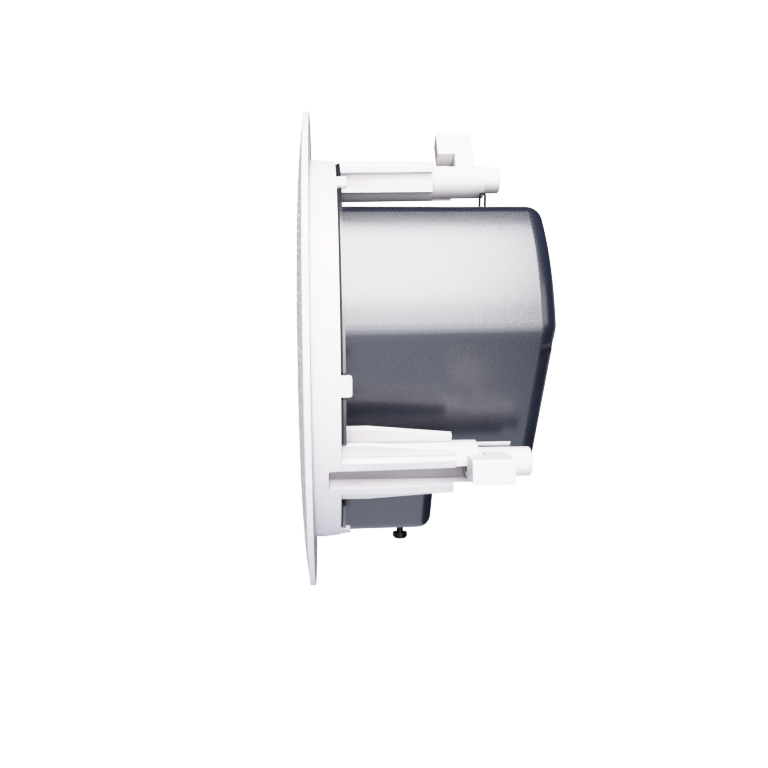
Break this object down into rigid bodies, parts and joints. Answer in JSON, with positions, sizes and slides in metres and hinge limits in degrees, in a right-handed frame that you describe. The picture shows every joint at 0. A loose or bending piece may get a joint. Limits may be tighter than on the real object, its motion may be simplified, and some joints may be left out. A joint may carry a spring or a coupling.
{
  "type": "ceiling speaker",
  "caption": "Round white flush ceiling loudspeaker with a shallow domed grille, swing-out clamps on screw posts and a dark three-lobed steel back can.",
  "frame": {"origin": "on the speaker's axis, in the plane where the back of the flange meets the ceiling board", "axes": "+Z along the speaker's axis up into the ceiling void, -Z into the room, +Y towards the first clamp post, the shallow wiring lobe towards -Y"},
  "size_m": [0.236, 0.236, 0.109],
  "materials": {
    "white_plastic": "satin",
    "white_steel": "satin powder coat",
    "can_paint": "fine textured powder coat",
    "white_foam": "closed-cell foam",
    "black_rubber": "matte",
    "dark_zinc": "black oxide",
    "zinc_steel": "zinc plated",
    "brass": "machined",
    "magnet_plate": "nickel plated",
    "basket_paint": "satin",
    "bare_iron": "zinc plated",
    "ferrite": "matte",
    "black_plastic": "satin",
    "grey_foam": "foam",
    "black_paper": "coated pulp",
    "amber_cloth": "resin-dipped cloth",
    "coil_former": "foil",
    "copper_wire": "enamelled wire",
    "winding_tape": "tape",
    "silk": "coated silk",
    "board": "solder mask",
    "cap_sleeve": "sleeve",
    "felt": "felt"
  },
  "bodies": {
    "housing": {"back_can": "can_paint", "bezel_frame": "white_plastic", "board_stands": "zinc_steel", "cable_grommet": "black_rubber", "can_seal": "black_rubber", "ceiling_gasket": "white_foam", "choke_bobbin": "black_plastic", "choke_winding": "copper_wire", "cone_surround": "black_rubber", "cover_bracket": "zinc_steel", "cover_screw": "dark_zinc", "crossover_board": "board", "crossover_capacitors": "cap_sleeve", "damping_pads": "felt", "ferrite_magnet": "ferrite", "grille": "white_steel", "grille_magnets": "magnet_plate", "pole_yoke": "bare_iron", "reflex_port": "black_plastic", "safety_eye": "zinc_steel", "spider": "amber_cloth", "tap_switch": "black_plastic", "terminal_block": "black_plastic", "terminal_screws": "zinc_steel", "top_plate": "bare_iron", "transformer_core": "bare_iron", "transformer_winding": "winding_tape", "tweeter_dome": "silk", "tweeter_shell": "black_plastic", "tweeter_stem": "bare_iron", "wiring_cover": "can_paint", "woofer_basket": "basket_paint", "woofer_gasket": "grey_foam", "woofer_screws": "zinc_steel"},
    "screw_1": {"clamp_screw_1": "zinc_steel"},
    "bush_1": {"clamp_bush_1": "brass"},
    "swing_clamp_1": {"clamp_1": "white_plastic"},
    "screw_2": {"clamp_screw_2": "zinc_steel"},
    "bush_2": {"clamp_bush_2": "brass"},
    "swing_clamp_2": {"clamp_2": "white_plastic"},
    "screw_3": {"clamp_screw_3": "zinc_steel"},
    "bush_3": {"clamp_bush_3": "brass"},
    "swing_clamp_3": {"clamp_3": "white_plastic"},
    "cone": {"woofer_cone": "black_paper", "voice_coil_former": "coil_former", "voice_coil": "copper_wire"},
    "tap_knob": {"tap_knob": "black_plastic"}
  },
  "joints": [
    {"name": "screw_1_turn", "type": "hinge", "parent": "housing", "child": "screw_1", "pos_m": [0, 0.084, 0], "axis": [0, 0, 1], "range_deg": [-677, 497]},
    {"name": "bush_1_travel", "type": "slide", "parent": "housing", "child": "bush_1", "axis": [0, 0, 1], "range_m": [-0.0022, 0.003]},
    {"name": "clamp_1_swing", "type": "hinge", "parent": "bush_1", "child": "swing_clamp_1", "pos_m": [0, 0.084, 0.074], "axis": [0, 0, 1], "range_deg": [-54, 36]},
    {"name": "screw_2_turn", "type": "hinge", "parent": "housing", "child": "screw_2", "pos_m": [-0.07275, -0.042, 0], "axis": [0, 0, 1], "range_deg": [-677, 497]},
    {"name": "bush_2_travel", "type": "slide", "parent": "housing", "child": "bush_2", "axis": [0, 0, 1], "range_m": [-0.0022, 0.003]},
    {"name": "clamp_2_swing", "type": "hinge", "parent": "bush_2", "child": "swing_clamp_2", "pos_m": [-0.07275, -0.042, 0.074], "axis": [0, 0, 1], "range_deg": [-54, 36]},
    {"name": "screw_3_turn", "type": "hinge", "parent": "housing", "child": "screw_3", "pos_m": [0.07275, -0.042, 0], "axis": [0, 0, 1], "range_deg": [-677, 497]},
    {"name": "bush_3_travel", "type": "slide", "parent": "housing", "child": "bush_3", "axis": [0, 0, 1], "range_m": [-0.0022, 0.003]},
    {"name": "clamp_3_swing", "type": "hinge", "parent": "bush_3", "child": "swing_clamp_3", "pos_m": [0.07275, -0.042, 0.074], "axis": [0, 0, 1], "range_deg": [-54, 36]},
    {"name": "cone_travel", "type": "slide", "parent": "housing", "child": "cone", "axis": [0, 0, -1], "range_m": [-0.0025, 0.0025], "stiffness_N_per_m": 2000, "deforming": ["cone_surround", "spider"]},
    {"name": "tap_knob_turn", "type": "hinge", "parent": "housing", "child": "tap_knob", "pos_m": [0.06582, 0.038, 0.003], "axis": [0, 0, 1], "range_deg": [0, 150]}
  ],
  "couplings": [
    {"joint": "screw_1_turn", "follows": "bush_1_travel", "rad_per_m": -3927},
    {"joint": "screw_2_turn", "follows": "bush_2_travel", "rad_per_m": -3927},
    {"joint": "screw_3_turn", "follows": "bush_3_travel", "rad_per_m": -3927}
  ]
}
